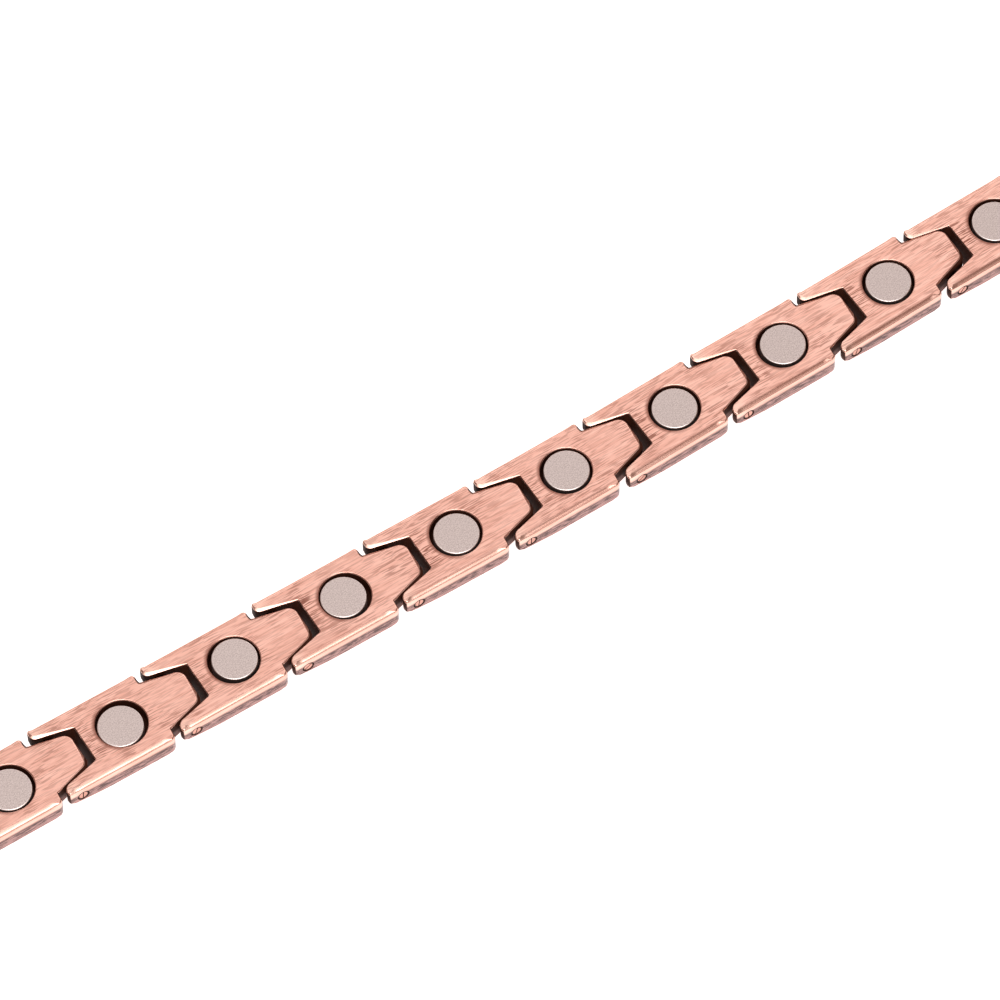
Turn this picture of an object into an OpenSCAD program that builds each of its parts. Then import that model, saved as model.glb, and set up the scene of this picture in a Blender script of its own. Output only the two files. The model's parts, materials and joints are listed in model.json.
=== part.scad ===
// Magnetic link bracelet, opened and laid flat with its magnets upward.
// X runs along the strap toward the clasp, Y across it, and Z = 0 is the surface it lies on.

/* [Strap] */
// Number of links, each with one magnet
link_count = 14; // [13:1:16]
// Distance from one hinge to the next, and from one magnet to the next
pitch = 14; // [13.9:0.1:14.6]
// How much of each link's small turn and shift is kept, where 0 makes a straight row
lay_share = 1; // [0:0.25:1]

/* [Link] */
// Width of a link
link_w = 9.2; // [9.2:0.1:10]
// Thickness of a link at its middle
link_t = 2.7; // [2.6:0.1:3.2]
// From the middle of a link to the tips of its ears
ear_reach = 8.95; // [8.8:0.05:9.1]
// From the middle of a link to its shoulders, where the tongue starts
shoulder_reach = 4.2; // [4:0.05:4.3]
// From the middle of a link to the tip of its tongue
tongue_reach = 8.8; // [8.5:0.05:8.85]
// Width of the tongue at the shoulders
tongue_root_w = 6.6; // [6:0.1:6.6]
// Width of the tongue at its tip, measured before its corners are rounded
tongue_tip_w = 4.4; // [3.9:0.1:4.4]
// From the middle of a link to the back wall of its notch
notch_reach = 4.35; // [4.2:0.05:4.5]
// Width of the notch at its back wall
notch_back_w = 4.6; // [4.6:0.1:4.8]
// How far the back wall of the notch leans out under the tongue, from its top to the underside
notch_lean = 0.5; // [0:0.05:0.5]
// How far the two inner corners of the notch lean out in the same way
corner_lean = 0.6; // [0.3:0.05:0.6]
// Width of the notch at its mouth, between the tips of the ears
notch_mouth_w = 6.8; // [6.8:0.1:7]

/* [Rounding] */
// Radius of the tongue's two corners
tongue_corner_r = 1.1; // [0.8:0.1:1.2]
// Radius of an ear's outer corner
ear_outer_r = 0.3; // [0.2:0.05:0.45]
// Radius of an ear's inner corner
ear_inner_r = 0.7; // [0.4:0.05:0.9]
// Radius of the corners of the shoulders, seen from above
shoulder_r = 0.55; // [0.3:0.05:0.6]
// Radius of the upper long edges
top_edge_r = 0.5; // [0.3:0.05:0.6]
// Radius of the lower long edges
low_edge_r = 0.15; // [0.1:0.05:0.3]
// Radius of the underside's curve toward the two ends of a link
underside_r = 60; // [50:5:90]
// How far that curve is cut off by the flat middle of the underside
underside_dip = 0.15; // [0.1:0.01:0.15]

/* [Hinge] */
// Diameter of a hinge pin
pin_d = 1.2; // [1.1:0.05:1.3]
// From the middle of a link back to the pin in its ears
pin_reach = 7.32; // [7.26:0.02:7.4]
// Depth of the pins' axis under the upper face
pin_depth = 1.4; // [1.3:0.05:1.5]
// Free space round a pin in the tongue
pin_play = 0.1; // [0.06:0.02:0.1]
// Free space round a pin in the ears
pin_seat = 0.03; // [0.02:0.01:0.05]
// How far the ends of a pin stay back from the sides of the link
pin_inset = 0.05; // [0:0.05:0.2]
// Width of the slit across one end of a pin
slit_w = 0.12; // [0.1:0.02:0.2]
// Depth of that slit
slit_depth = 0.3; // [0.2:0.1:0.6]

/* [Magnet] */
// Diameter of a magnet
magnet_d = 5; // [4.8:0.1:5.1]
// Thickness of a magnet
magnet_t = 1.7; // [1.5:0.1:1.8]
// Bevel round the upper rim of a magnet
magnet_bevel = 0.12; // [0.05:0.01:0.2]
// Diameter of the well that a magnet lies in
well_d = 5.84; // [5.8:0.02:6]
// From the middle of a link to the middle of its well
well_x = 0.1; // [0:0.05:0.1]
// Space left under a magnet
magnet_seat = 0.02; // [0.02:0.01:0.05]

/* [Clasp] */
// Width of the mouth that lets the catch bar into the clasp's hook
hook_mouth = 1.1; // [1:0.05:1.2]

/* [Hidden] */
$fn = 96;
clear = 1;  // how far a cutting shape reaches past what it cuts
corner_steps = 6;  // flats in the rounding of a corner
corner_inset = 0.1;  // how far inside the notch's corners, and below the upper face, their wedges start
half_w = link_w / 2;
pin_z = link_t - pin_depth;
bore_x = pitch - pin_reach;  // the hinge that goes through a link's own tongue
strap_len = link_count * pitch + ear_reach + tongue_reach;
first_x = ear_reach - strap_len / 2;  // middle of the first link
copper = "#e3a892";
nickel = "#c9bfbb";

// How each link lies: its turn in degrees, its shift in Y, the magnet's shift in X and Y from the
// middle of its well, and the turn of the slit in the end of the pin that its ears hold.
// A strap with more links than rows lays the rest straight.
TURN = 0;
SHIFT = 1;
MAGNET_X = 2;
MAGNET_Y = 3;
SLIT = 4;
lay = [
    [ 0.3,  0.00, -0.05,  0.00, 20],
    [-0.2,  0.05, -0.15,  0.00, 75],
    [-0.9,  0.15, -0.05, -0.15, 60],
    [-1.5,  0.10, -0.25, -0.20, 85],
    [-1.1,  0.02,  0.10,  0.03, 70],
    [-1.3, -0.02, -0.25, -0.03, 35],
    [-1.4, -0.10,  0.00, -0.10, 80],
    [-0.2, -0.25,  0.05,  0.00, 88],
    [ 0.9, -0.20, -0.05, -0.05, 40],
    [ 0.1, -0.10,  0.10,  0.00, 95],
    [ 1.1,  0.05,  0.00,  0.00, 75],
    [ 0.6,  0.05, -0.05, -0.05, 60],
    [ 0.2,  0.00, -0.15,  0.05, 30],
    [-0.3,  0.00, -0.10,  0.05, 80],
];

function lay_of(number, column) = number <= len(lay) ? lay_share * lay[number - 1][column] : 0;
function two_digits(number) = str(number < 10 ? "0" : "", number);
function numbered(stem, count) = [for (number = [1:count]) str(stem, "_", two_digits(number))];

function direction(from, to) = (to - from) / norm(to - from);
function turned(v, angle) = [v.x * cos(angle) - v.y * sin(angle), v.x * sin(angle) + v.y * cos(angle)];

// The points of a rounding of radius r at corner p, between the sides toward before and after
function corner_arc(before, p, after, r) =
    let (
        u = direction(p, before),
        v = direction(p, after),
        half_angle = acos(u * v) / 2,
        middle = p + (u + v) / norm(u + v) * r / sin(half_angle),
        start = p + u * r / tan(half_angle) - middle,
        sweep = (2 * half_angle - 180) * sign(cross(u, v))
    )
    [for (step = [0:corner_steps]) middle + turned(start, sweep * step / corner_steps)];

// The outline through a list of corners, each [x, y, radius], where a radius of 0 stays sharp
function rounded(corners) =
    let (
        count = len(corners),
        flat = [for (corner = corners) [corner.x, corner.y]]
    )
    [for (i = [0:count - 1])
        each corners[i].z == 0
            ? [flat[i]]
            : corner_arc(flat[(i + count - 1) % count], flat[i], flat[(i + 1) % count], corners[i].z)
    ];

// The same corners on the other side of the strap's middle line, in an order that goes on round
function mirrored(corners) = [
    for (i = [len(corners) - 1:-1:0]) [corners[i].x, -corners[i].y, corners[i].z]
];

// A link's outline from above: half of it, from the tongue's tip round to the notch, and its mirror
module link_outline() {
    half = [
        [tongue_reach, tongue_tip_w / 2, tongue_corner_r],
        [shoulder_reach, tongue_root_w / 2, 0],
        [shoulder_reach, half_w, shoulder_r],
        [-ear_reach, half_w, ear_outer_r],
        [-ear_reach, notch_mouth_w / 2, ear_inner_r],
        [-notch_reach, notch_back_w / 2, 0],
    ];
    polygon(rounded(concat(half, mirrored(half))));
}

// What the rounding of a link's long edges takes away, on the side toward +Y
module long_edge_waste() {
    outside = half_w + clear;
    top = [half_w, link_t];
    low = [half_w, 0];
    rotate([90, 0, 90])
        linear_extrude(4 * ear_reach, center = true) {
            polygon(concat(
                [[outside, link_t - top_edge_r], [outside, link_t + clear], [half_w - top_edge_r, link_t + clear]],
                corner_arc([0, link_t], top, low, top_edge_r)
            ));
            polygon(concat(
                [[half_w - low_edge_r, -clear], [outside, -clear], [outside, low_edge_r]],
                corner_arc(top, low, [0, 0], low_edge_r)
            ));
        }
}

// What the curve of the underside takes away
module underside_waste() {
    rotate([90, 0, 0])
        linear_extrude(link_w + 2 * clear, center = true)
            difference() {
                translate([-ear_reach - clear, -clear]) square([2 * (ear_reach + clear), 2 * clear]);
                translate([0, underside_r - underside_dip]) circle(underside_r, $fn = 720);
            }
}

// A bore across the strap, round the axis of a pin at the given X
module cross_bore(x, r) {
    translate([x, 0, pin_z])
        rotate([90, 0, 0])
            cylinder(h = link_w + 2 * clear, r = r, center = true);
}

// A wedge across the strap, from an edge at the given height down to a foot that stands out toward -X
module lean_wedge(width, lean, edge_z) {
    rotate([90, 0, 0])
        linear_extrude(width, center = true)
            polygon([[0, edge_z], [-lean, 0], [clear, 0]]);
}

// The wedges that make the back wall of the notch and its two corners lean, let into both ears
module notch_lip() {
    translate([-notch_reach, 0, 0]) lean_wedge(notch_back_w + 1, notch_lean, link_t);
    for (side = [-1, 1])
        translate([-notch_reach, side * notch_back_w / 2, 0])
            rotate([0, 0, side * 45])
                translate([corner_inset, 0, 0])
                    lean_wedge(3 * clear, corner_lean + corner_inset, link_t - corner_inset);
}

// A link without a well or a bore in its tongue: ears, notch, shoulders and tongue
module blank_link() {
    difference() {
        union() {
            linear_extrude(link_t) link_outline();
            notch_lip();
        }
        long_edge_waste();
        mirror([0, 1, 0]) long_edge_waste();
        underside_waste();
        cross_bore(-pin_reach, pin_d / 2 + pin_seat);
    }
}

// Puts its children where link number lies
module place(number) {
    translate([first_x + (number - 1) * pitch, lay_of(number, SHIFT), 0])
        rotate([0, 0, lay_of(number, TURN)])
            children();
}

module link(number) {
    color(copper)
        place(number)
            difference() {
                blank_link();
                cross_bore(bore_x, pin_d / 2 + pin_play);
                translate([well_x, 0, link_t - magnet_t - magnet_seat])
                    cylinder(h = magnet_t + clear, d = well_d);
            }
}

module magnet(number) {
    color(nickel)
        place(number)
            translate([well_x + lay_of(number, MAGNET_X), lay_of(number, MAGNET_Y), link_t - magnet_t]) {
                cylinder(h = magnet_t - magnet_bevel, d = magnet_d);
                translate([0, 0, magnet_t - magnet_bevel])
                    cylinder(h = magnet_bevel, d1 = magnet_d, d2 = magnet_d - 2 * magnet_bevel);
            }
}

// The pin that the ears of link number hold
module pin(number) {
    length = link_w - 2 * pin_inset;
    color(copper)
        place(number)
            translate([-pin_reach, 0, pin_z])
                rotate([90, 0, 0])
                    difference() {
                        cylinder(h = length, d = pin_d, center = true);
                        rotate([0, 0, lay_of(number, SLIT)])
                            translate([0, 0, length / 2])
                                cube([pin_d + clear, slit_w, 2 * slit_depth], center = true);
                    }
}

// The last piece, whose tongue is a hook for the catch bar of the first link
module clasp() {
    color(copper)
        place(link_count + 1)
            difference() {
                blank_link();
                cross_bore(bore_x, pin_d / 2 + pin_play);
                translate([bore_x - hook_mouth / 2, -half_w, pin_z])
                    cube([hook_mouth, link_w, link_t]);
            }
}

for (number = [1:link_count]) {
    link(number);
    magnet(number);
}
for (number = [1:link_count - 1]) {
    pin(number + 1);
}
pin(1);  // catch_bar
pin(link_count + 1);  // clasp_pin
clasp();
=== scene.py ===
import json
import math

import bmesh
import bpy
from mathutils import Matrix, Vector

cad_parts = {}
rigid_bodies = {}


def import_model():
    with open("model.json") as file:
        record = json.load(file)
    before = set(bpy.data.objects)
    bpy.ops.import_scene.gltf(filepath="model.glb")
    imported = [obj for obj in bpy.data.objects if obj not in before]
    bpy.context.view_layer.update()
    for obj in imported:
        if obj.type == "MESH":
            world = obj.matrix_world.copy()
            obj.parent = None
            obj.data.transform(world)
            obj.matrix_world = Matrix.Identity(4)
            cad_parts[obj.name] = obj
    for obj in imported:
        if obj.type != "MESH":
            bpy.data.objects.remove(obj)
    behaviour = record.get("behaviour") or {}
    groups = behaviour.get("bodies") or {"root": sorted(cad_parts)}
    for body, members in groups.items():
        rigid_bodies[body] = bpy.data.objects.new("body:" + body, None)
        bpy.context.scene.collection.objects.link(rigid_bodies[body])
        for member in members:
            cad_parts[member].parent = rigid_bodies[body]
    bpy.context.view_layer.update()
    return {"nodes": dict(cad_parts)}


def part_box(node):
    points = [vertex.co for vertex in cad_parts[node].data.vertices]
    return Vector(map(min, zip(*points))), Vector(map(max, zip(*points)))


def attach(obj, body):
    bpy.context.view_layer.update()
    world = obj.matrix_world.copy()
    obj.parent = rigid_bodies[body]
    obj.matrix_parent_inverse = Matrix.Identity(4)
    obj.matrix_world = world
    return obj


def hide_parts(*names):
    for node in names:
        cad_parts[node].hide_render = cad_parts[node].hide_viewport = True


for leftover in list(bpy.data.objects):  # Blender's own cube, lamp and camera
    bpy.data.objects.remove(leftover)
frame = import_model()
mm = 0.001
scene = bpy.context.scene
scene.view_settings.view_transform = "Standard"
print("frame:", len(frame["nodes"]), "nodes")

# camera, matched to the middles of the ten magnets in the photograph
view = {
    "azimuth": -120.63,  # degrees round the strap's middle, 0 along +X
    "elevation": 59.98,
    "roll": -2.81,
    "distance": 979.2,  # mm
    "target": (-7.71, 0.65, 2.7),
    "lens": 329.2,  # mm
    "sensor": 36,  # mm
}


def addCamera(view):
    azimuth, elevation, roll = (math.radians(view[key]) for key in ("azimuth", "elevation", "roll"))
    level = math.cos(elevation)
    back = Vector((level * math.cos(azimuth), level * math.sin(azimuth), math.sin(elevation)))
    right = Vector((0, 0, 1)).cross(back).normalized()
    up = back.cross(right)
    rolledRight = right * math.cos(roll) + up * math.sin(roll)
    rolledUp = up * math.cos(roll) - right * math.sin(roll)
    lens = bpy.data.cameras.new("photoCamera")
    lens.lens = view["lens"]
    lens.sensor_width = view["sensor"]
    camera = bpy.data.objects.new("photoCamera", lens)
    turn = Matrix((rolledRight, rolledUp, back)).transposed().to_4x4()
    camera.matrix_world = Matrix.Translation((Vector(view["target"]) + back * view["distance"]) * mm) @ turn
    scene.collection.objects.link(camera)
    scene.camera = camera


addCamera(view)
print("camera placed")


# helpers for materials and pieces
def linearColour(hexText):  # sRGB hex to linear
    channels = [int(hexText[i:i + 2], 16) / 255 for i in (1, 3, 5)]
    return [c / 12.92 if c < 0.04045 else ((c + 0.055) / 1.055) ** 2.4 for c in channels] + [1]


def newMaterial(name):
    material = bpy.data.materials.new(name)
    material.use_nodes = True
    return material, material.node_tree, material.node_tree.nodes["Principled BSDF"]


# adds one node: settings are its properties, and links fill its sockets by name or number
def addNode(tree, kind, settings=None, links=None):
    node = tree.nodes.new(kind)
    for key, value in (settings or {}).items():
        setattr(node, key, value)
    for key, value in (links or {}).items():
        if isinstance(value, bpy.types.NodeSocket):
            tree.links.new(value, node.inputs[key])
        else:
            node.inputs[key].default_value = value
    return node


# settings that many nodes share
smooth = {"interpolation_type": "SMOOTHSTEP"}
colourMix = {"data_type": "RGBA"}  # a Mix node, whose colours are its inputs 6 and 7 and its output 2
product = {"operation": "MULTIPLY"}
sumOf = {"operation": "ADD"}
larger = {"operation": "MAXIMUM"}
scaleAndAdd = {"operation": "MULTIPLY_ADD"}


def addPiece(name, mesh, replaced, place=Matrix()):
    piece = bpy.data.objects.new(name, mesh)
    piece.matrix_world = place
    scene.collection.objects.link(piece)
    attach(piece, "root")
    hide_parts(replaced)


# links: copper plates with two ears round a notch, and a tongue
linkShape = {  # mm, as in the solids
    "thickness": 2.7,
    "halfWidth": 4.6,
    "earReach": 8.95,
    "shoulderReach": 4.2,
    "tongueReach": 8.8,
    "tongueRoot": 3.3,  # half widths
    "tongueTip": 2.2,
    "notchReach": 4.35,
    "notchBack": 2.3,
    "notchMouth": 3.4,
    "notchLean": 0.5,  # how far the notch's back wall leans out toward the underside
    "pinReach": 7.32,
    "boreReach": 6.68,
    "pinHeight": 1.3,
    "earBore": 0.63,  # radii
    "tongueBore": 0.7,
    "boreFlare": 0.09,  # the drilled bores open out by this much at the sides
    "wellMiddle": 0.1,
    "wellRadius": 2.82,
    "wellDepth": 1.72,
    "wellChamfer": (0.13, 0.13),  # across and down
    "chamferCurve": ((1, 0), (0.55, 0.25), (0.2, 0.6), (0, 1)),  # as shares of its width and drop
    "floorBevel": 0.1,  # round the well's floor
    "hookMouth": 1.1,
    "undersideRadius": 60,
    "undersideDip": 0.15,
}
meshDetail = {
    "spacing": 0.5,  # mm between the points of the outline
    "arcSteps": 8,
    "edgeSteps": 10,
    "wellSides": 96,
    "boreSides": 40,
    "mitreLimit": 0.5,  # at a sharp corner the edge grows to 1 / this of its width at most
    "cutterOverhang": 1,  # mm
    "sharpAngle": 32,  # degrees
}

# each corner of half a link's outline: x, y, radius in plan at the upper and the lower face, and how its
# edges are broken, as width, drop, flatness and crown of the upper one (crown 1 is an ellipse, less starts
# to round more gently), and width and drop of the lower one
linkCorners = [
    ("tongueReach", "tongueTip", 1.1, 1.1, 0.2, 0.2, 0.3, 0.667, 0.2, 0.25),
    ("shoulderReach", "tongueRoot", 0.12, 0.12, 0.3, 0.14, 0.9, 0.667, 0.1, 0.2),
    ("shoulderReach", "halfWidth", 0.45, 0.45, 0.35, 0.6, 0, 0.667, 0.2, 0.35),
    (3.0, "halfWidth", 0, 0, 0.42, 0.85, 0, 0.667, 0.1, 0.15),
    (-8.3, "halfWidth", 0, 0, 0.42, 0.85, 0, 0.667, 0.1, 0.15),
    ("-earReach", "halfWidth", 0.3, 0.3, 0.2, 0.45, 0, 0.667, 0.3, 0.6),
    ("-earReach", "notchMouth", 0.7, 0.7, 0.36, 0.17, 0.9, 0.667, 0.3, 0.4),
    ("-notchReach", "notchBack", 0.15, 2.7, 0.05, 0.03, 0.9, 0.667, 0.1, 0.1),
]
# the same for the other side of the strap, where wear or filing has left some corners different, by their
# place in the list and without x, y and the lower edge
nearCorners = {
    0: (1.1, 1.1, 0.42, 0.33, 0.8, 0.667),
    1: (0.12, 0.12, 0.16, 0.2, 0.3, 0.667),
    2: (0.6, 0.7, 0.25, 0.5, 0, 0.667),
    3: (0, 0, 0.82, 0.95, 0, 0.36),
    4: (0, 0, 0.82, 0.95, 0, 0.36),
    5: (0.3, 0.3, 0.3, 0.6, 0, 0.667),
    6: (0.95, 0.95, 0.12, 0.12, 0.3, 0.667),
}


# the points of a rounded corner in plan
def cornerArc(before, corner, after, radius, steps):
    toBefore = (before - corner).normalized()
    toAfter = (after - corner).normalized()
    half = toBefore.angle(toAfter) / 2
    centre = corner + (toBefore + toAfter).normalized() * (radius / math.sin(half))
    start = corner + toBefore * (radius / math.tan(half)) - centre
    sweep = math.copysign(math.pi - 2 * half, -toBefore.cross(toAfter))
    return [centre + Matrix.Rotation(sweep * i / steps, 2) @ start for i in range(steps + 1)]


# the outline as points of the upper and the lower face, each pair with its edge breaks
def linkOutline(shape, corners, nearCorners, detail):
    def sized(value):
        if isinstance(value, str):
            return -shape[value[1:]] if value[0] == "-" else shape[value]
        return value

    half = [[sized(value) for value in corner] for corner in corners]
    near = [[row[0], -row[1], *nearCorners.get(i, row[2:8]), *row[8:]] for i, row in enumerate(half)]
    whole = half + near[::-1]
    upper = [Vector(row[:2]) for row in whole]
    lower = [point.copy() for point in upper]
    last = len(half) - 1
    for i, ear in ((last, last - 1), (last + 1, last + 2)):
        along = (upper[ear] - upper[i]) / (upper[ear].x - upper[i].x)
        lower[i] = upper[i] - along * shape["notchLean"]

    def rounded(flat, i, radius):
        if radius == 0:
            return [flat[i]]
        return cornerArc(flat[i - 1], flat[i], flat[(i + 1) % len(flat)], radius, detail["arcSteps"])

    arcs = []
    for i, row in enumerate(whole):
        levels = rounded(upper, i, row[2]), rounded(lower, i, row[3])
        arcs.append([(*points, Vector(row[4:])) for points in zip(*levels)])
    outline = []
    for i, arc in enumerate(arcs):
        outline += arc
        start, end = arc[-1], arcs[(i + 1) % len(arcs)][0]
        count = max(1, round((end[0] - start[0]).length / detail["spacing"]))
        for step in range(1, count):
            outline.append(tuple(one.lerp(other, step / count) for one, other in zip(start, end)))
    return outline


# for each point of the outline, the step that moves both its sides in by 1
def inwardSteps(outline, detail):
    steps = []
    for i, (point, _, _) in enumerate(outline):
        back = (point - outline[i - 1][0]).normalized()
        on = (outline[(i + 1) % len(outline)][0] - point).normalized()
        first, second = Vector((-back.y, back.x)), Vector((-on.y, on.x))
        middle = (first + second).normalized()
        steps.append(middle / max(detail["mitreLimit"], middle.dot(first)))
    return steps


# how far in and how high each point of the outline lies, ring by ring from the upper face to the underside
def edgeLevels(shape, outline, detail):
    top, steps = shape["thickness"], detail["edgeSteps"]
    levels = []
    for k in range(steps + 1):
        bend, share = math.pi / 2 * k / steps, k / steps
        across, remaining = 1 - math.sin(bend), max(0, math.cos(bend))
        level = []
        for wide, drop, flat, crown in (edge[:4] for _, _, edge in outline):
            inward = across * (1 - flat) + (1 - share) * flat
            fallen = (1 - remaining ** crown) * (1 - flat) + share * flat
            level.append((wide * inward, top - drop * fallen))
        levels.append(level)
    for k in range(steps + 1):
        bend = math.pi / 2 * k / steps
        inward, height = 1 - math.cos(bend), 1 - math.sin(bend)
        levels.append([(edge[4] * inward, edge[5] * height) for _, _, edge in outline])
    return levels


# a round well in the upper face; gives the edges of its mouth
def addWell(mesh, shape, detail):
    top, middle = shape["thickness"], shape["wellMiddle"]
    radius, depth, bevel = shape["wellRadius"], shape["wellDepth"], shape["floorBevel"]
    wide, drop = shape["wellChamfer"]
    sides = detail["wellSides"]
    profile = [(radius + wide * out, drop * down) for out, down in shape["chamferCurve"]]
    profile += [(radius, depth - bevel), (radius - bevel, depth)]
    rings = []
    for r, down in profile:
        turns = (math.tau * i / sides for i in range(sides))
        points = [(middle + r * math.cos(turn), r * math.sin(turn), top - down) for turn in turns]
        rings.append([mesh.verts.new(point) for point in points])
    for upper, lower in zip(rings, rings[1:]):
        for i in range(sides):
            mesh.faces.new((upper[i - 1], upper[i], lower[i], lower[i - 1]))
    mesh.faces.new(rings[-1])
    return [mesh.edges.get((rings[0][i - 1], rings[0][i])) for i in range(sides)]


# the underside lies flat in its middle and rises toward both ends on a large radius
def bendUnderside(mesh, under, shape, detail):
    top, radius, spacing = shape["thickness"], shape["undersideRadius"], detail["spacing"]
    level = radius - shape["undersideDip"]
    flatReach = math.sqrt(radius ** 2 - level ** 2)
    last = int(shape["earReach"] / spacing)
    for step in range(-last, last + 1):
        if abs(step) * spacing < flatReach:
            continue
        edges = list({edge for face in under for edge in face.edges})
        corners = list({corner for face in under for corner in face.verts})
        place = (step * spacing, 0, 0)
        cut = bmesh.ops.bisect_plane(mesh, geom=under + edges + corners, plane_co=place, plane_no=(1, 0, 0))
        under = [item for item in cut["geom"] if isinstance(item, bmesh.types.BMFace)]
    for vertex in mesh.verts:
        rise = max(0, level - math.sqrt(radius ** 2 - vertex.co.x ** 2))
        vertex.co.z += rise * (1 - vertex.co.z / top)


def plateMesh(shape, outline, detail, well):
    top = shape["thickness"]
    mesh = bmesh.new()
    steps = inwardSteps(outline, detail)
    rings = []
    for level in edgeLevels(shape, outline, detail):
        ring = []
        for (point, low, _), step, (across, high) in zip(outline, steps, level):
            ring.append(mesh.verts.new((*(point.lerp(low, 1 - high / top) + step * across), high)))
        rings.append(ring)
    for upper, lower in zip(rings, rings[1:]):
        for i in range(len(upper)):
            mesh.faces.new((upper[i - 1], lower[i - 1], lower[i], upper[i]))
    under = [mesh.faces.new(rings[-1][::-1])]
    openEdges = [mesh.edges.get((rings[0][i - 1], rings[0][i])) for i in range(len(rings[0]))]
    if well:
        openEdges += addWell(mesh, shape, detail)
    bmesh.ops.triangle_fill(mesh, use_beauty=True, edges=openEdges, normal=(0, 0, 1))
    bendUnderside(mesh, under, shape, detail)
    bmesh.ops.recalc_face_normals(mesh, faces=mesh.faces[:])
    return mesh


# a round cutter across the strap, through all of it, opening out at the two sides
def boreMesh(shape, detail, x, radius, flare):
    mesh = bmesh.new()
    sides = detail["boreSides"]
    side, end = shape["halfWidth"], shape["halfWidth"] + detail["cutterOverhang"]
    profile = [(-end, radius + flare), (-side, radius + flare), (flare - side, radius)]
    profile += [(-y, r) for y, r in profile[::-1]]
    rings = []
    for y, r in profile:
        turns = (math.tau * i / sides for i in range(sides))
        points = [(x + r * math.cos(turn), y, shape["pinHeight"] + r * math.sin(turn)) for turn in turns]
        rings.append([mesh.verts.new(point) for point in points])
    for one, other in zip(rings, rings[1:]):
        for i in range(sides):
            mesh.faces.new((one[i - 1], one[i], other[i], other[i - 1]))
    mesh.faces.new(rings[0])
    mesh.faces.new(rings[-1][::-1])
    bmesh.ops.recalc_face_normals(mesh, faces=mesh.faces[:])
    return mesh


def mouthMesh(shape):  # the slot that opens the clasp's hook to the upper face
    mesh = bmesh.new()
    bmesh.ops.create_cube(mesh, size=1)
    for vertex in mesh.verts:
        vertex.co.x = shape["boreReach"] + vertex.co.x * shape["hookMouth"]
        vertex.co.y *= 2 * shape["halfWidth"]
        vertex.co.z = shape["pinHeight"] + (vertex.co.z + 0.5) * shape["thickness"]
    return mesh


def asObject(name, mesh):
    data = bpy.data.meshes.new(name)
    bmesh.ops.scale(mesh, vec=(mm, mm, mm), verts=mesh.verts)
    mesh.to_mesh(data)
    mesh.free()
    made = bpy.data.objects.new(name, data)
    scene.collection.objects.link(made)
    return made


# smooth shading, in which flats keep their true normals right up to their rounded edges
def shadeEvenly(mesh, sharpAngle):
    flatLimit, wallLimit, likeness = 0.999, 0.02, 0.9
    mesh.polygons.foreach_set("use_smooth", [True] * len(mesh.polygons))
    mesh.set_sharp_from_angle(angle=math.radians(sharpAngle))
    normals = [corner.vector.copy() for corner in mesh.corner_normals]
    flats = {}
    for face in mesh.polygons:
        for index in face.loop_indices:
            if face.normal.z > flatLimit:
                flats.setdefault(mesh.loops[index].vertex_index, []).append(Vector((0, 0, 1)))
            elif abs(face.normal.z) < wallLimit:
                level = Vector((normals[index].x, normals[index].y, 0)).normalized()
                flats.setdefault(mesh.loops[index].vertex_index, []).append(level)
    for index, loop in enumerate(mesh.loops):
        for normal in flats.get(loop.vertex_index, []):
            if normals[index].dot(normal) > likeness:
                normals[index] = normal
                break
    mesh.normals_split_custom_set(normals)


def cutMesh(name, plate, cutters, sharpAngle):
    body = asObject(name, plate)
    tools = [asObject("cutter", cutter) for cutter in cutters]
    for tool in tools:
        cut = body.modifiers.new("cut", "BOOLEAN")
        cut.operation = "DIFFERENCE"
        cut.solver = "EXACT"
        cut.object = tool
    evaluated = body.evaluated_get(bpy.context.evaluated_depsgraph_get())
    mesh = bpy.data.meshes.new_from_object(evaluated)
    mesh.name = name
    for made in [body, *tools]:
        bpy.data.objects.remove(made)
    shadeEvenly(mesh, sharpAngle)
    return mesh


def boreCutters(shape, detail):
    return [
        boreMesh(shape, detail, -shape["pinReach"], shape["earBore"], shape["boreFlare"]),
        boreMesh(shape, detail, shape["boreReach"], shape["tongueBore"], 0),
    ]


def makePlates(shape, corners, nearCorners, detail):
    outline = linkOutline(shape, corners, nearCorners, detail)
    link = plateMesh(shape, outline, detail, well=True)
    clasp = plateMesh(shape, outline, detail, well=False)
    claspCutters = boreCutters(shape, detail) + [mouthMesh(shape)]
    return (
        cutMesh("link", link, boreCutters(shape, detail), detail["sharpAngle"]),
        cutMesh("clasp", clasp, claspCutters, detail["sharpAngle"]),
    )


linkMesh, claspMesh = makePlates(linkShape, linkCorners, nearCorners, meshDetail)
print("link mesh:", len(linkMesh.polygons), "faces")

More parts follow.
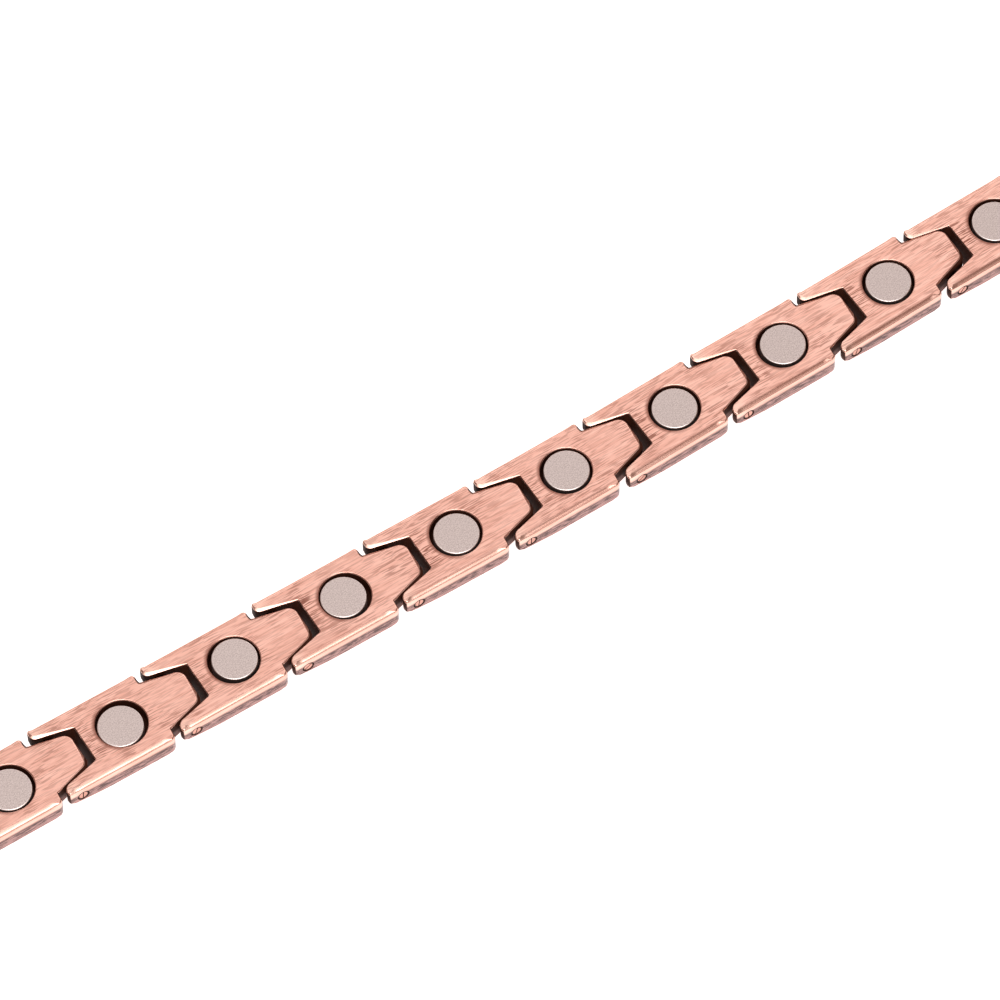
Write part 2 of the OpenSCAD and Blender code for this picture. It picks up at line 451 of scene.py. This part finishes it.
# brushed copper: rolled sheet, brushed along the strap, with dark patina left in the recesses
# the brushing gives short light and dark lines, the patina makes gaps and wells read nearly black
brushedCopper = {
    "copper": "#e7b2a1",
    "pale": "#f4c4b4",
    "wornTipSheen": "#ffdccb",  # the tips of the ears, rubbed pale, with a painted highlight of their rounded ends on top
    "stroke": "#7d4636",  # the darkest brush lines
    "tarnish": "#7d4a3d",  # beside the wells
    # painted shade: the outer sides are a darker mauve-grey, partly real tarnish and partly painted shade for
    # the shaded table they reflect
    "side": "#a9827d",
    "sideStreak": "#4f3735",
    "patina": "#3c1f15",
    "litPatina": "#856863",  # painted light: the patina painted paler low in the near open ends of the gaps, where light reaches
    "lineLength": 1.7,  # mm
    "lineWidth": 0.135,  # real brush lines are near 0.03 mm wide, too fine for the picture
    "lineDepth": 0.005,
    "lineRoughness": 0.12,
    "broadLines": 0.35,  # the scale of the light lines against the dark ones
    "patchSize": 3.5,  # mm, of stretches with more or fewer dark lines
    "streakSize": (1.1, 0.13),  # mm along and up the outer sides
    "darkLines": (0.48, 0.56),  # the noise that starts a dark line, and that makes it full
    "lightLines": (0.36, 0.64),
    "patches": (0.4, 0.65),
    "streaks": (0.54, 0.66),
    "strokeStrength": (0.2, 0.52),  # in the patches with the fewest and the most dark lines
    "strokeAtNotch": 0.34,  # added between the notch and the well
    "strokeAtEdge": 0.25,  # what wear has left on the rounded edges
    "roughness": 0.32,
    "edgeRoughness": 0.18,  # the rounded edges are burnished by wear
    "patinaRoughness": 0.3,  # added to the copper's
    "patinaSpecular": 0.06,
    "patinaFrom": 2.48,  # mm above the table, where the recesses turn dark
    "patinaTo": 2.55,
    "shadeRiseAtFlank": 0.13,  # painted shade: how much higher the patina's dark colour reaches on the tongue's near flank, over its edge rounding
    "shadeRiseAtShoulder": 0.14,  # and at the far shoulder, also painted shade over its edge rounding
    "mouthMargin": 0.005,  # mm that the patina stays inside the mouth of a bore
}
# each zone fades in from the first value to the second, up to the third: by x, y or z of the place, its
# distance off the middle line or from the well's axis (all in mm), by having a well, or by how far the
# surface faces along x or up
copperZones = {
    "beforeWell": ("x", -2.4, -3.6, 1),
    "middleLine": ("off", 3.2, 1.8, 1),
    "earTip": ("x", -6.9, -8.3, 0.45),
    "wellRim": ("fromWell", 3.35, 2.95, 1),
    "wellLeft": ("x", 0.5, -2.4, 0.75),
    "onLink": ("hasWell", 0, 1, 1),  # and not on the clasp
    "outside": ("off", 4.25, 4.45, 1),
    "lowSide": ("z", 2.1, 1.5, 1),
    "overUnderside": ("up", -0.75, -0.35, 1),
    "aboveFoot": ("z", 0.4, 0.9, 0.11),
    "sideTop": ("z", 1.3, 1.6, 0.09),
    "tongue": ("x", 4.3, 5.2, 1),
    "nearHalf": ("y", -0.9, -1.5, 1),
    "shoulderEnd": ("x", 3.7, 3.9, 1),
    "pastTongue": ("y", 3.1, 3.25, 1),
    "withinSide": ("y", 4.15, 3.85, 1),
    "between": ("off", 4.5, 4.25, 1),
    "earEnd": ("along", -0.45, -0.7, 1),
    "nearEnd": ("y", -2.9, -3.1, 1),
    "deep": ("z", 1.6, 1.0, 0.8),
    "flat": ("up", 0.975, 0.998, 1),
}
copperLimits = {  # zones with a hard edge
    "beforeTongue": ("x", "LESS_THAN", 4.35),
    "notUnderside": ("up", "GREATER_THAN", -0.5),
}
copperRegions = {  # where zones overlap
    "nearNotch": ("beforeWell", "middleLine"),
    "crescent": ("wellRim", "onLink", "wellLeft"),
    "shadedOuterSides": ("outside", "lowSide", "overUnderside"),
    "nearFlankShade": ("tongue", "nearHalf"),
    "farShoulderShade": ("shoulderEnd", "beforeTongue", "pastTongue", "withinSide"),
    "litGapEnds": ("nearEnd", "between", "deep"),
}


# how far a place lies from an axis through a point
def axisDistance(tree, place, point, crossing):
    offset = addNode(tree, "ShaderNodeVectorMath", {"operation": "SUBTRACT"}, {0: place, 1: point})
    level = addNode(tree, "ShaderNodeVectorMath", product, {0: offset.outputs[0], 1: crossing})
    length = addNode(tree, "ShaderNodeVectorMath", {"operation": "LENGTH"}, {0: level.outputs[0]})
    return length.outputs["Value"]


# the zones and regions of a link, as sockets by name
def linkZones(tree, place, zones, limits, regions, shape):
    at = place.outputs["Object"]
    parts = addNode(tree, "ShaderNodeSeparateXYZ", None, {0: at}).outputs
    facing = addNode(tree, "ShaderNodeSeparateXYZ", None, {0: place.outputs["Normal"]}).outputs
    wellAxis = (shape["wellMiddle"] * mm, 0, 0)
    pinAxis = (-shape["pinReach"] * mm, 0, shape["pinHeight"] * mm)
    measures = {  # each with its unit
        "x": (parts[0], mm),
        "y": (parts[1], mm),
        "z": (parts[2], mm),
        "off": (addNode(tree, "ShaderNodeMath", {"operation": "ABSOLUTE"}, {0: parts[1]}).outputs[0], mm),
        "fromWell": (axisDistance(tree, at, wellAxis, (1, 1, 0)), mm),
        "hasWell": (addNode(tree, "ShaderNodeAttribute", {"attribute_name": "hasWell"}).outputs["Fac"], 1),
        "along": (facing[0], 1),
        "up": (facing[2], 1),
    }
    masks = {"height": parts[2], "fromPin": axisDistance(tree, at, pinAxis, (1, 0, 1))}  # two plain measures
    for name, (measure, start, full, most) in zones.items():
        socket, unit = measures[measure]
        fade = {"Value": socket, "From Min": start * unit, "From Max": full * unit, "To Max": most}
        masks[name] = addNode(tree, "ShaderNodeMapRange", smooth, fade).outputs[0]
    for name, (measure, side, limit) in limits.items():
        socket, unit = measures[measure]
        step = addNode(tree, "ShaderNodeMath", {"operation": side}, {0: socket, 1: limit * unit})
        masks[name] = step.outputs[0]
    for name, overlapping in regions.items():
        mask = masks[overlapping[0]]
        for zone in overlapping[1:]:
            mask = addNode(tree, "ShaderNodeMath", product, {0: mask, 1: masks[zone]}).outputs[0]
        masks[name] = mask
    return masks


# where the patina is: in the recesses and in the flared mouths of the bores in the ears; it reaches higher on
# the tongue's near flank and at the far shoulder as painted shade, for the dark reflections in their edge
# roundings
def patinaMask(tree, look, masks, shape):
    # painted shade: the dark colour is lifted over the edge roundings of the tongue's near flank and the far
    # shoulder
    flank = addNode(tree, "ShaderNodeMath", product, {0: masks["nearFlankShade"], 1: look["shadeRiseAtFlank"] * mm})
    rise = addNode(
        tree, "ShaderNodeMath", scaleAndAdd,
        {0: masks["farShoulderShade"], 1: look["shadeRiseAtShoulder"] * mm, 2: flank.outputs[0]},
    )
    height = addNode(
        tree, "ShaderNodeMath", {"operation": "SUBTRACT"}, {0: masks["height"], 1: rise.outputs[0]}
    )
    below = addNode(
        tree, "ShaderNodeMapRange", smooth,
        {"Value": height.outputs[0], "From Min": look["patinaTo"] * mm, "From Max": look["patinaFrom"] * mm},
    )
    inside = addNode(tree, "ShaderNodeMath", larger, {0: masks["between"], 1: masks["earEnd"]})
    both = addNode(tree, "ShaderNodeMath", product, {0: below.outputs[0], 1: inside.outputs[0]})
    recess = addNode(tree, "ShaderNodeMath", product, {0: both.outputs[0], 1: masks["notUnderside"]})
    mouthReach = (shape["earBore"] + shape["boreFlare"] - look["mouthMargin"]) * mm
    mouth = addNode(tree, "ShaderNodeMath", {"operation": "LESS_THAN"}, {0: masks["fromPin"], 1: mouthReach})
    return addNode(tree, "ShaderNodeMath", larger, {0: recess.outputs[0], 1: mouth.outputs[0]}).outputs[0]


def makeCopper(name, look, zones, limits, regions, shape):
    material, tree, shader = newMaterial(name)
    place = addNode(tree, "ShaderNodeTexCoord")
    masks = linkZones(tree, place, zones, limits, regions, shape)
    patina = patinaMask(tree, look, masks, shape)
    colour = {key: linearColour(value) for key, value in look.items() if isinstance(value, str)}

    # noise drawn out along the strap, other on each link
    seed = addNode(tree, "ShaderNodeAttribute", {"attribute_name": "linkSeed"})
    shifted = addNode(
        tree, "ShaderNodeVectorMath", sumOf, {0: place.outputs["Object"], 1: seed.outputs["Vector"]}
    )
    lineScale = [1 / (look[key] * mm) for key in ("lineLength", "lineWidth", "lineWidth")]
    lines = addNode(tree, "ShaderNodeMapping", None, {"Vector": shifted.outputs[0], "Scale": lineScale})
    fine = addNode(
        tree, "ShaderNodeTexNoise", None,
        {"Vector": lines.outputs[0], "Scale": 1, "Detail": 1, "Roughness": 0.5},
    )
    broad = addNode(
        tree, "ShaderNodeTexNoise", None,
        {"Vector": lines.outputs[0], "Scale": look["broadLines"], "Detail": 2},
    )
    patchNoise = addNode(
        tree, "ShaderNodeTexNoise", None,
        {"Vector": shifted.outputs[0], "Scale": 1 / (look["patchSize"] * mm), "Detail": 2},
    )

    # brush lines, closer and darker in patches and between the notch and the well, and faint on worn edges
    (fewFrom, manyFrom), (few, many) = look["patches"], look["strokeStrength"]
    patches = addNode(
        tree, "ShaderNodeMapRange", None,
        {
            "Value": patchNoise.outputs["Fac"],
            "From Min": fewFrom,
            "From Max": manyFrom,
            "To Min": few,
            "To Max": many,
        },
    )
    density = addNode(
        tree, "ShaderNodeMath", {"operation": "MULTIPLY_ADD", "use_clamp": True},
        {0: masks["nearNotch"], 1: look["strokeAtNotch"], 2: patches.outputs[0]},
    )
    unworn = addNode(
        tree, "ShaderNodeMath", scaleAndAdd,
        {0: masks["flat"], 1: 1 - look["strokeAtEdge"], 2: look["strokeAtEdge"]},
    )
    darkFrom, darkTo = look["darkLines"]
    dark = addNode(
        tree, "ShaderNodeMapRange", None,
        {"Value": fine.outputs["Fac"], "From Min": darkFrom, "From Max": darkTo},
    )
    lasting = addNode(tree, "ShaderNodeMath", product, {0: dark.outputs[0], 1: unworn.outputs[0]})
    stroke = addNode(tree, "ShaderNodeMath", product, {0: lasting.outputs[0], 1: density.outputs[0]})
    lightFrom, lightTo = look["lightLines"]
    light = addNode(
        tree, "ShaderNodeMapRange", None,
        {"Value": broad.outputs["Fac"], "From Min": lightFrom, "From Max": lightTo},
    )

    # streaks on the outer sides, sparse low down and run together into a dark line at the top (the sides'
    # tone under them is partly painted shade)
    streakLong, streakHigh = look["streakSize"]
    streakScale = (1 / (streakLong * mm), lineScale[1], 1 / (streakHigh * mm))
    sideLines = addNode(tree, "ShaderNodeMapping", None, {"Vector": shifted.outputs[0], "Scale": streakScale})
    sideNoise = addNode(
        tree, "ShaderNodeTexNoise", None,
        {"Vector": sideLines.outputs[0], "Scale": 1, "Detail": 2, "Roughness": 0.6},
    )
    higher = addNode(tree, "ShaderNodeMath", sumOf, {0: masks["aboveFoot"], 1: masks["sideTop"]})
    denser = addNode(tree, "ShaderNodeMath", sumOf, {0: sideNoise.outputs["Fac"], 1: higher.outputs[0]})
    streakFrom, streakTo = look["streaks"]
    streaks = addNode(
        tree, "ShaderNodeMapRange", None,
        {"Value": denser.outputs[0], "From Min": streakFrom, "From Max": streakTo},
    )
    sides = addNode(
        tree, "ShaderNodeMix", colourMix, {0: streaks.outputs[0], 6: colour["side"], 7: colour["sideStreak"]}
    )
    # the patina, painted paler where light reaches low in the near ends of the gaps: painted light
    darkest = addNode(
        tree, "ShaderNodeMix", colourMix, {0: masks["litGapEnds"], 6: colour["patina"], 7: colour["litPatina"]}
    )

    # each layer lies over the one before it, where its mask is
    surface = colour["copper"]
    for mask, layer in (
        (light.outputs[0], colour["pale"]),
        # the ear tips: rubbed wear with a painted highlight
        (masks["earTip"], colour["wornTipSheen"]),
        (stroke.outputs[0], colour["stroke"]),
        (masks["crescent"], colour["tarnish"]),
        (masks["shadedOuterSides"], sides.outputs[2]),
        (patina, darkest.outputs[2]),
    ):
        surface = addNode(tree, "ShaderNodeMix", colourMix, {0: mask, 6: surface, 7: layer}).outputs[2]
    tree.links.new(surface, shader.inputs["Base Color"])

    # the patina is a dull oxide, not metal
    bare = addNode(tree, "ShaderNodeMath", {"operation": "SUBTRACT"}, {0: 1, 1: patina})
    tree.links.new(bare.outputs[0], shader.inputs["Metallic"])
    bareSpecular = shader.inputs["Specular IOR Level"].default_value
    gloss = addNode(
        tree, "ShaderNodeMath", scaleAndAdd,
        {0: patina, 1: look["patinaSpecular"] - bareSpecular, 2: bareSpecular},
    )
    tree.links.new(gloss.outputs[0], shader.inputs["Specular IOR Level"])
    rough = addNode(
        tree, "ShaderNodeMapRange", None,
        {"Value": masks["flat"], "To Min": look["edgeRoughness"], "To Max": look["roughness"]},
    )
    grainy = addNode(
        tree, "ShaderNodeMath", scaleAndAdd,
        {0: fine.outputs["Fac"], 1: look["lineRoughness"], 2: rough.outputs[0]},
    )
    dull = addNode(
        tree, "ShaderNodeMath", scaleAndAdd, {0: patina, 1: look["patinaRoughness"], 2: grainy.outputs[0]}
    )
    tree.links.new(dull.outputs[0], shader.inputs["Roughness"])
    bump = addNode(
        tree, "ShaderNodeBump", None,
        {"Height": fine.outputs["Fac"], "Distance": look["lineDepth"] * mm, "Strength": unworn.outputs[0]},
    )
    tree.links.new(bump.outputs[0], shader.inputs["Normal"])
    return material


copperMaterial = makeCopper(
    "brushed copper", brushedCopper, copperZones, copperLimits, copperRegions, linkShape
)


def centreOf(node):
    low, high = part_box(node)
    return (low + high) / 2


# where a plate lies: from the pin in its ears toward its own middle of area
def placeOf(node, pinNode):
    data = frame["nodes"][node].data
    area = sum(face.area for face in data.polygons)
    middle = sum((face.center * face.area for face in data.polygons), Vector()) / area
    pin = centreOf(pinNode)
    along = (middle - pin).to_2d().normalized()
    start = pin.to_2d() + along * linkShape["pinReach"] * mm
    return Matrix.Translation((*start, 0)) @ Matrix.Rotation(math.atan2(along.y, along.x), 4, "Z")


seedStep = (13.7, 7.1, 5.3)  # mm that the noise of one link is shifted against the one before
pinPlaces = {}  # the place of the plate whose ears hold each pin


def plate(node, pinNode, source, number, well):
    pinPlaces[pinNode] = placeOf(node, pinNode)
    mesh = source.copy()
    mesh.name = node
    mesh.materials.clear()
    mesh.materials.append(copperMaterial)
    count = len(mesh.vertices)
    seed = mesh.attributes.new("linkSeed", "FLOAT_VECTOR", "POINT")
    seed.data.foreach_set("vector", [number * step * mm for step in seedStep] * count)
    hasWell = mesh.attributes.new("hasWell", "FLOAT", "POINT")
    hasWell.data.foreach_set("value", [float(well)] * count)
    addPiece("dressed_" + node, mesh, node, pinPlaces[pinNode])


linkNodes = sorted(name for name in frame["nodes"] if name.startswith("link_"))
for number, node in enumerate(linkNodes, 1):
    pinNode = "catch_bar" if number == 1 else f"pin_{number - 1:02d}"
    plate(node, pinNode, linkMesh, number, well=True)
plate("clasp", "clasp_pin", claspMesh, len(linkNodes) + 1, well=False)
print("links placed:", len(linkNodes))

# magnets: nickel-plated discs, tumbled, so matt and finely grained, with a worn, glossier rim that carries a
# painted highlight
magnetShape = {"bevel": 0.12, "bevelSteps": 4, "segments": 96, "sharpAngle": 40}
nickelPlate = {
    "nickel": "#d6cac6",
    "speckle": "#b7aaa6",
    # painted highlight: the rim's bevel painted near white for its glint
    "rim": "#fdf6f3",
    "roughness": 0.5,
    "rimRoughness": 0.36,  # the bevel is worn bright
    "grain": 0.13,  # mm; the real grain is finer than the picture shows
    "grainDepth": 0.003,
    "speckles": (0.4, 0.65),  # the noise that starts a speckle, and that makes it full
    "rimHighlightSlope": (0.998, 0.95),  # how far up it faces where the rim's painted highlight starts, and is full
    "rimPolishSlope": (0.995, 0.9),
}


def makeNickel(name, look):
    material, tree, shader = newMaterial(name)
    place = addNode(tree, "ShaderNodeTexCoord")
    grain = addNode(
        tree, "ShaderNodeTexNoise", None,
        {"Vector": place.outputs["Object"], "Scale": 1 / (look["grain"] * mm), "Detail": 2},
    )
    speckleFrom, speckleTo = look["speckles"]
    spread = addNode(
        tree, "ShaderNodeMapRange", None,
        {"Value": grain.outputs["Fac"], "From Min": speckleFrom, "From Max": speckleTo},
    )
    grained = addNode(
        tree, "ShaderNodeMix", colourMix,
        {0: spread.outputs[0], 6: linearColour(look["nickel"]), 7: linearColour(look["speckle"])},
    )
    facing = addNode(tree, "ShaderNodeSeparateXYZ", None, {0: place.outputs["Normal"]})
    colourFrom, colourTo = look["rimHighlightSlope"]
    edge = addNode(
        tree, "ShaderNodeMapRange", None,
        {"Value": facing.outputs[2], "From Min": colourFrom, "From Max": colourTo},
    )
    # painted highlight on the bevel
    rimHighlighted = addNode(
        tree, "ShaderNodeMix", colourMix,
        {0: edge.outputs[0], 6: grained.outputs[2], 7: linearColour(look["rim"])},
    )
    tree.links.new(rimHighlighted.outputs[2], shader.inputs["Base Color"])
    shader.inputs["Metallic"].default_value = 1
    polishFrom, polishTo = look["rimPolishSlope"]
    polish = addNode(
        tree, "ShaderNodeMapRange", None,
        {
            "Value": facing.outputs[2],
            "From Min": polishFrom,
            "From Max": polishTo,
            "To Min": look["roughness"],
            "To Max": look["rimRoughness"],
        },
    )
    tree.links.new(polish.outputs[0], shader.inputs["Roughness"])
    bump = addNode(
        tree, "ShaderNodeBump", None,
        {"Height": grain.outputs["Fac"], "Distance": look["grainDepth"] * mm, "Strength": 1},
    )
    tree.links.new(bump.outputs[0], shader.inputs["Normal"])
    return material


nickelMaterial = makeNickel("tumbled nickel plate", nickelPlate)


def magnet(node, shape):
    low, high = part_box(node)
    centre = (low + high) / 2
    radius, thick, bevel = (high.x - low.x) / 2, high.z - low.z, shape["bevel"] * mm
    steps, count = shape["bevelSteps"], shape["segments"]
    profile = []
    for k in range(steps + 1):
        turn = math.pi / 2 * k / steps
        profile.append((radius - bevel + bevel * math.sin(turn), thick - bevel + bevel * math.cos(turn)))
    profile += [(radius, bevel), (radius - bevel, 0)]
    mesh = bmesh.new()
    rings = []
    for r, z in profile:
        turns = (math.tau * i / count for i in range(count))
        rings.append([mesh.verts.new((r * math.cos(turn), r * math.sin(turn), z)) for turn in turns])
    for upper, lower in zip(rings, rings[1:]):
        for i in range(count):
            mesh.faces.new((upper[i - 1], lower[i - 1], lower[i], upper[i]))
    mesh.faces.new(rings[0])
    mesh.faces.new(rings[-1][::-1])
    bmesh.ops.recalc_face_normals(mesh, faces=mesh.faces[:])
    data = bpy.data.meshes.new(node)
    mesh.to_mesh(data)
    mesh.free()
    shadeEvenly(data, shape["sharpAngle"])
    data.materials.append(nickelMaterial)
    addPiece("dressed_" + node, data, node, Matrix.Translation((centre.x, centre.y, low.z)))


magnetNodes = sorted(name for name in frame["nodes"] if name.startswith("magnet_"))
for node in magnetNodes:
    magnet(node, magnetShape)
print("magnets placed:", len(magnetNodes))

# pins: cut copper wire, filed flush, with a slit across the end
# the end faces read as bright copper with a dark ring, and the rest of the wire as dark as the gaps
wireLook = {
    "copper": "#eab3a3",
    "dark": "#a8705f",
    "patina": "#2a150f",
    "rimFrom": 0.46,  # mm from a pin's axis, where dirt has settled against the bore
    "rimTo": 0.52,
    "endFace": 4.53,  # mm from its middle; all else but the end faces is tarnished
    "roughness": 0.35,
    "grain": 0.25,  # mm, of the filing
    "grainDepth": 0.01,
}


def makeWire(name, look):
    material, tree, shader = newMaterial(name)
    place = addNode(tree, "ShaderNodeTexCoord")
    grain = addNode(
        tree, "ShaderNodeTexNoise", None,
        {"Vector": place.outputs["Object"], "Scale": 1 / (look["grain"] * mm), "Detail": 3},
    )
    filed = addNode(
        tree, "ShaderNodeMix", colourMix,
        {0: grain.outputs["Fac"], 6: linearColour(look["copper"]), 7: linearColour(look["dark"])},
    )

    # a pin's mesh is where the pin is, so its own middle and axis are read from the object
    ofObject = {"attribute_type": "OBJECT"}
    middle = addNode(tree, "ShaderNodeAttribute", {**ofObject, "attribute_name": "axisMiddle"})
    axis = addNode(tree, "ShaderNodeAttribute", {**ofObject, "attribute_name": "axisWay"})
    offset = addNode(
        tree, "ShaderNodeVectorMath", {"operation": "SUBTRACT"},
        {0: place.outputs["Object"], 1: middle.outputs["Vector"]},
    )
    against = {0: offset.outputs[0], 1: axis.outputs["Vector"]}
    along = addNode(tree, "ShaderNodeVectorMath", {"operation": "DOT_PRODUCT"}, against)
    across = addNode(tree, "ShaderNodeVectorMath", {"operation": "CROSS_PRODUCT"}, against)
    far = addNode(tree, "ShaderNodeMath", {"operation": "ABSOLUTE"}, {0: along.outputs["Value"]})
    hidden = addNode(
        tree, "ShaderNodeMath", {"operation": "LESS_THAN"}, {0: far.outputs[0], 1: look["endFace"] * mm}
    )
    reach = addNode(tree, "ShaderNodeVectorMath", {"operation": "LENGTH"}, {0: across.outputs[0]})
    rim = addNode(
        tree, "ShaderNodeMapRange", None,
        {"Value": reach.outputs["Value"], "From Min": look["rimFrom"] * mm, "From Max": look["rimTo"] * mm},
    )
    dirty = addNode(tree, "ShaderNodeMath", larger, {0: hidden.outputs[0], 1: rim.outputs[0]})
    colour = addNode(
        tree, "ShaderNodeMix", colourMix,
        {0: dirty.outputs[0], 6: filed.outputs[2], 7: linearColour(look["patina"])},
    )
    tree.links.new(colour.outputs[2], shader.inputs["Base Color"])
    shader.inputs["Metallic"].default_value = 1
    shader.inputs["Roughness"].default_value = look["roughness"]
    bump = addNode(
        tree, "ShaderNodeBump", None,
        {"Height": grain.outputs["Fac"], "Distance": look["grainDepth"] * mm, "Strength": 1},
    )
    tree.links.new(bump.outputs[0], shader.inputs["Normal"])
    return material


wireMaterial = makeWire("filed copper wire", wireLook)
for name, place in pinPlaces.items():
    node = frame["nodes"][name]
    node["axisMiddle"] = node.matrix_world.inverted() @ centreOf(name)
    node["axisWay"] = place.to_3x3() @ Vector((0, 1, 0))
    node.data.materials.clear()
    node.data.materials.append(wireMaterial)
print("pins finished:", len(pinPlaces))

# table: a sheet of matt white acrylic, lit a little from below, which reads as plain white
tableLook = {"white": "#f6f6f6", "glow": 0.72, "size": 3000, "roughness": 0.6}
lightPlan = {  # mm; the glow is what a panel adds to a mirror's picture of it, 1 being white
    "farPanel": {"place": (290, 390, 480), "size": (640, 480), "glow": 1.31},  # lights the flat faces
    "topPanel": {"place": (-78, -35, 400), "size": (390, 310), "glow": 1.5},
    "topStrip": {"place": (-105, -185, 395), "size": (390, 190), "glow": 3.1},  # the near edges' white line
    "frontPanel": {"place": (-68, -530, 305), "size": (700, 730), "glow": 0.6},  # lights the near sides
}
sky = {"colour": "#ffdacb", "strength": 0.26}


def addTable(look):
    mesh = bmesh.new()
    bmesh.ops.create_grid(mesh, x_segments=8, y_segments=8, size=look["size"] * mm / 2)
    data = bpy.data.meshes.new("table")
    mesh.to_mesh(data)
    mesh.free()
    material, _, shader = newMaterial("matt white acrylic")
    shader.inputs["Base Color"].default_value = linearColour(look["white"])
    shader.inputs["Roughness"].default_value = look["roughness"]
    shader.inputs["Emission Color"].default_value = linearColour(look["white"])
    shader.inputs["Emission Strength"].default_value = look["glow"]
    data.materials.append(material)
    table = bpy.data.objects.new("table", data)
    scene.collection.objects.link(table)


def addLights(plan, sky):
    world = bpy.data.worlds.new("studio")
    world.use_nodes = True
    background = world.node_tree.nodes["Background"]
    background.inputs["Color"].default_value = linearColour(sky["colour"])
    background.inputs["Strength"].default_value = sky["strength"]
    scene.world = world
    for name, panel in plan.items():
        data = bpy.data.lights.new(name, "AREA")
        data.shape = "RECTANGLE"
        data.size, data.size_y = (side * mm for side in panel["size"])
        data.energy = panel["glow"] * math.pi * data.size * data.size_y
        light = bpy.data.objects.new(name, data)
        light.location = Vector(panel["place"]) * mm
        light.rotation_euler = light.location.to_track_quat("Z", "Y").to_euler()  # faces the strap's middle
        scene.collection.objects.link(light)


addTable(tableLook)
addLights(lightPlan, sky)
print("table and lights placed")

bpy.context.view_layer.update()
